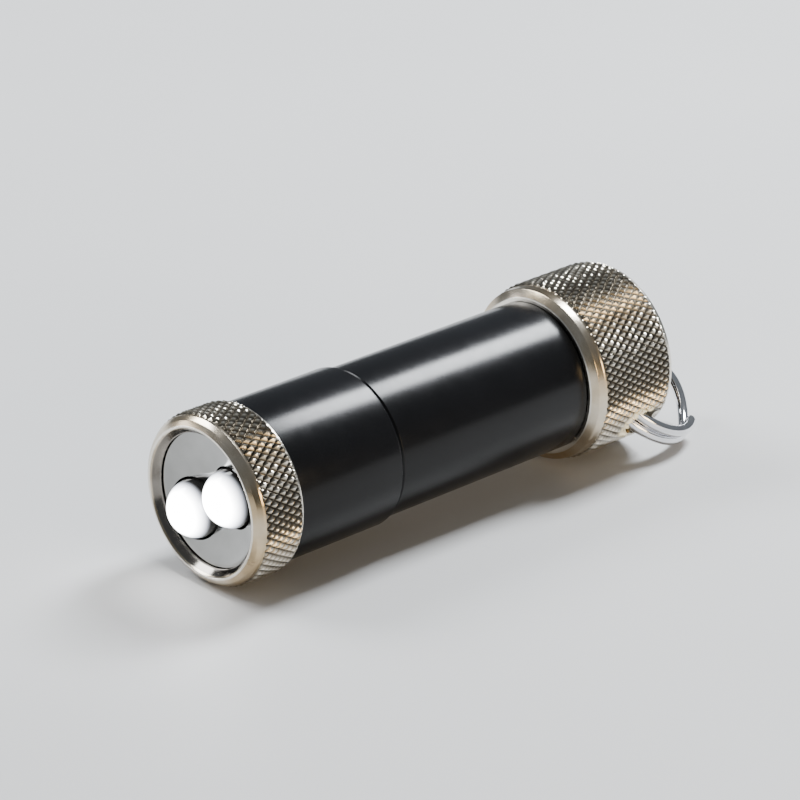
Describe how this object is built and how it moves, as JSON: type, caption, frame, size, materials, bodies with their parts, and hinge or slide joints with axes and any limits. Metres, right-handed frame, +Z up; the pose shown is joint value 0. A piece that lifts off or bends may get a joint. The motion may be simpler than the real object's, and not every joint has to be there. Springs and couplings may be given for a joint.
{
  "type": "keychain flashlight",
  "caption": "Small black keychain flashlight with a knurled bezel and tail cap, twin LEDs in a mirror plate, a twist head and a chrome split ring.",
  "frame": {"origin": "middle of the whole length from LED domes to key ring, on the plane that the tail cap's knurl rests on", "axes": "+X along the flashlight's axis from the lamp to the tail, +Z up, the key ring's hole is on the -Y side"},
  "size_m": [0.0526, 0.0152, 0.0153],
  "materials": {
    "silver_metal": "polished knurled metal with a warm tint",
    "mirror_plate": "mirror bright, a shallow dish",
    "rubber": "matt",
    "led_epoxy": "clear gloss",
    "black_plastic": "matt",
    "tinned_wire": "tinned",
    "board_laminate": "satin solder mask",
    "chip_ceramic": "satin",
    "contact_brass": "satin",
    "black_anodised": "glossy black anodised",
    "nickel_can": "satin nickel",
    "spring_steel": "bright drawn wire",
    "chrome_wire": "polished chrome"
  },
  "bodies": {
    "battery_body": {"battery_tube": "black_anodised", "battery_sleeve": "black_plastic", "button_cell_1": "nickel_can", "button_cell_2": "nickel_can", "button_cell_3": "nickel_can", "button_cell_4": "nickel_can", "contact_spring": "spring_steel", "tail_cap": "silver_metal"},
    "head_carrier": {"head_seal": "rubber"},
    "head": {"bezel_ring": "silver_metal", "reflector_plate": "mirror_plate", "plate_seal": "rubber", "led_left": "led_epoxy", "led_right": "led_epoxy", "led_holder": "black_plastic", "led_lead_1": "tinned_wire", "led_lead_2": "tinned_wire", "led_lead_3": "tinned_wire", "led_lead_4": "tinned_wire", "led_board": "board_laminate", "resistor": "chip_ceramic", "positive_contact": "contact_brass", "head_tube": "black_anodised"},
    "ring": {"key_ring": "chrome_wire"}
  },
  "joints": [
    {"name": "head_travel", "type": "slide", "parent": "battery_body", "child": "head_carrier", "axis": [-1, 0, 0], "range_m": [0, 0.0024]},
    {"name": "head_twist", "type": "hinge", "parent": "head_carrier", "child": "head", "pos_m": [-0.01042, 0, 0.00763], "axis": [-1, 0, 0], "range_deg": [0, 1440]},
    {"name": "ring_swing", "type": "hinge", "parent": "battery_body", "child": "ring", "pos_m": [0.01663, -0.00563, 0.00391], "axis": [0.5111, -0.5956, -0.6197], "range_deg": [-20, 48]}
  ],
  "couplings": [
    {"joint": "head_twist", "follows": "head_travel", "rad_per_m": 10472}
  ]
}
